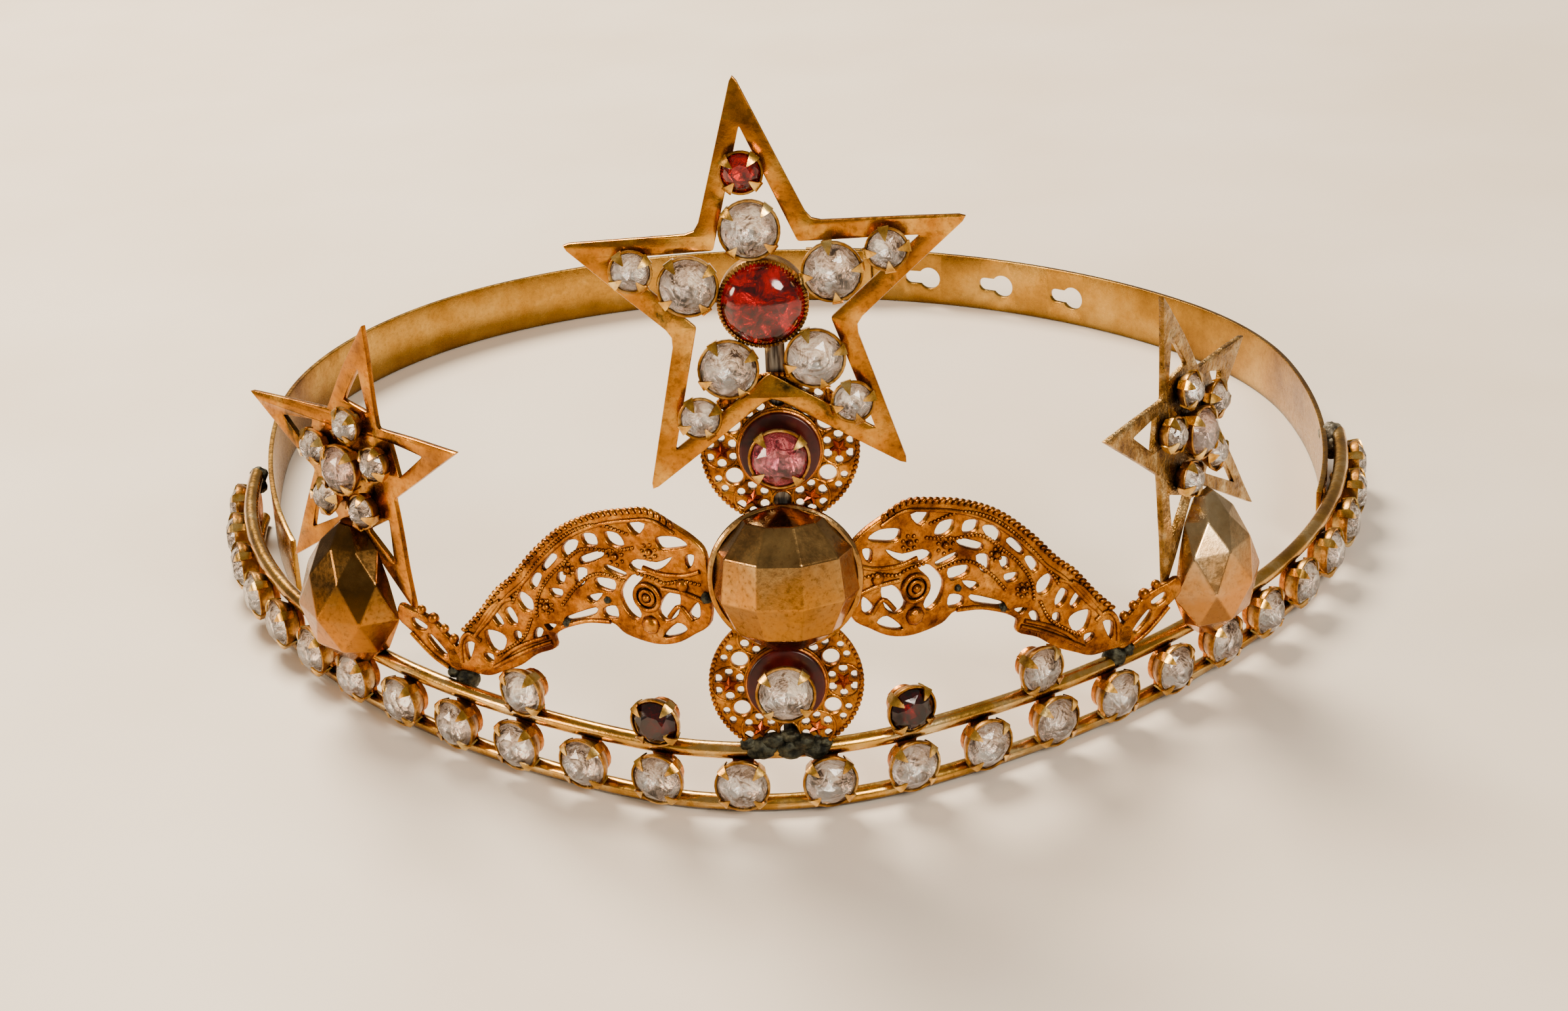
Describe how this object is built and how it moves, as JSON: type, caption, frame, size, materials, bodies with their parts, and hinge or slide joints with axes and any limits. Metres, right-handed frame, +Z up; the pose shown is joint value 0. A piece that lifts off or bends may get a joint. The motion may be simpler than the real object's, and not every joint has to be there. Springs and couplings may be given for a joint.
{
  "type": "crown",
  "caption": "Gilt brass crown with a claw-set stone gallery, star, disc, bead and wing ornaments, and a slotted strap closing behind the head.",
  "frame": {"origin": "middle of the crown's outline on the surface it stands on", "axes": "+Z up, -Y to the front with the big star, +Y to the strap's closure, +X to the left seen from behind"},
  "size_m": [0.1744, 0.1904, 0.0942],
  "materials": {
    "rail_brass": "polished on the outer edges, tarnished brown between",
    "copper_brass": "copper-red, satin",
    "cup_brass": "worn gilt, satin",
    "strap_brass": "rolled strip, tarnished brown",
    "stamped_brass": "stamped, orange-brown with dark hollows",
    "bead_brass": "faceted, warm and worn",
    "pale_brass": "faceted, pale and worn",
    "star_brass": "flat sheet, olive-brown tarnish",
    "stem_steel": "dull grey",
    "dark_solder": "dark solder with green verdigris, rough",
    "grey_solder": "grey solder, rough",
    "clear_glass": "foil-backed clear glass, cut and polished",
    "garnet_glass": "dark red glass, cut and polished",
    "red_glass": "dark red glass, glossy",
    "amethyst_glass": "pale violet glass, cut and polished",
    "smoky_glass": "greyish violet glass, cut and polished"
  },
  "bodies": {
    "crown": {"lower_rail": "rail_brass", "upper_rail": "rail_brass", "gallery_posts": "copper_brass", "gallery_cups": "cup_brass", "gallery_stones": "clear_glass", "right_band": "strap_brass", "left_joint_solder": "dark_solder", "right_joint_solder": "grey_solder", "rail_top_cups": "cup_brass", "rail_top_clear_stones": "clear_glass", "rail_top_garnets": "garnet_glass", "lower_disc": "stamped_brass", "upper_disc": "stamped_brass", "lower_red_disc": "red_glass", "upper_red_disc": "red_glass", "lower_disc_cup": "cup_brass", "upper_disc_cup": "cup_brass", "lower_disc_stone": "clear_glass", "upper_disc_stone": "amethyst_glass", "centre_bead": "bead_brass", "centre_stem": "stem_steel", "foot_solder": "dark_solder", "left_wing": "stamped_brass", "right_wing": "stamped_brass", "left_wing_tail": "stamped_brass", "right_wing_tail": "stamped_brass", "big_star_frame": "star_brass", "big_star_bezel": "cup_brass", "big_star_cabochon": "red_glass", "big_star_large_cups": "cup_brass", "big_star_large_stones": "clear_glass", "big_star_small_cups": "cup_brass", "big_star_small_stones": "clear_glass", "big_star_garnet": "garnet_glass", "left_pear": "bead_brass", "right_pear": "pale_brass", "left_star_frame": "star_brass", "right_star_frame": "star_brass", "left_star_cups": "cup_brass", "right_star_cups": "cup_brass", "left_star_centre_stone": "smoky_glass", "right_star_centre_stone": "smoky_glass", "left_star_stones": "clear_glass", "right_star_stones": "clear_glass", "side_solder": "dark_solder"},
    "left_half": {"left_band": "strap_brass", "closure_stud": "strap_brass"}
  },
  "joints": [
    {"name": "closure_slide", "type": "hinge", "parent": "crown", "child": "left_half", "pos_m": [-0.01058, -0.005, 0.0048], "axis": [0, 0, -1], "range_deg": [0, 1.89]}
  ]
}
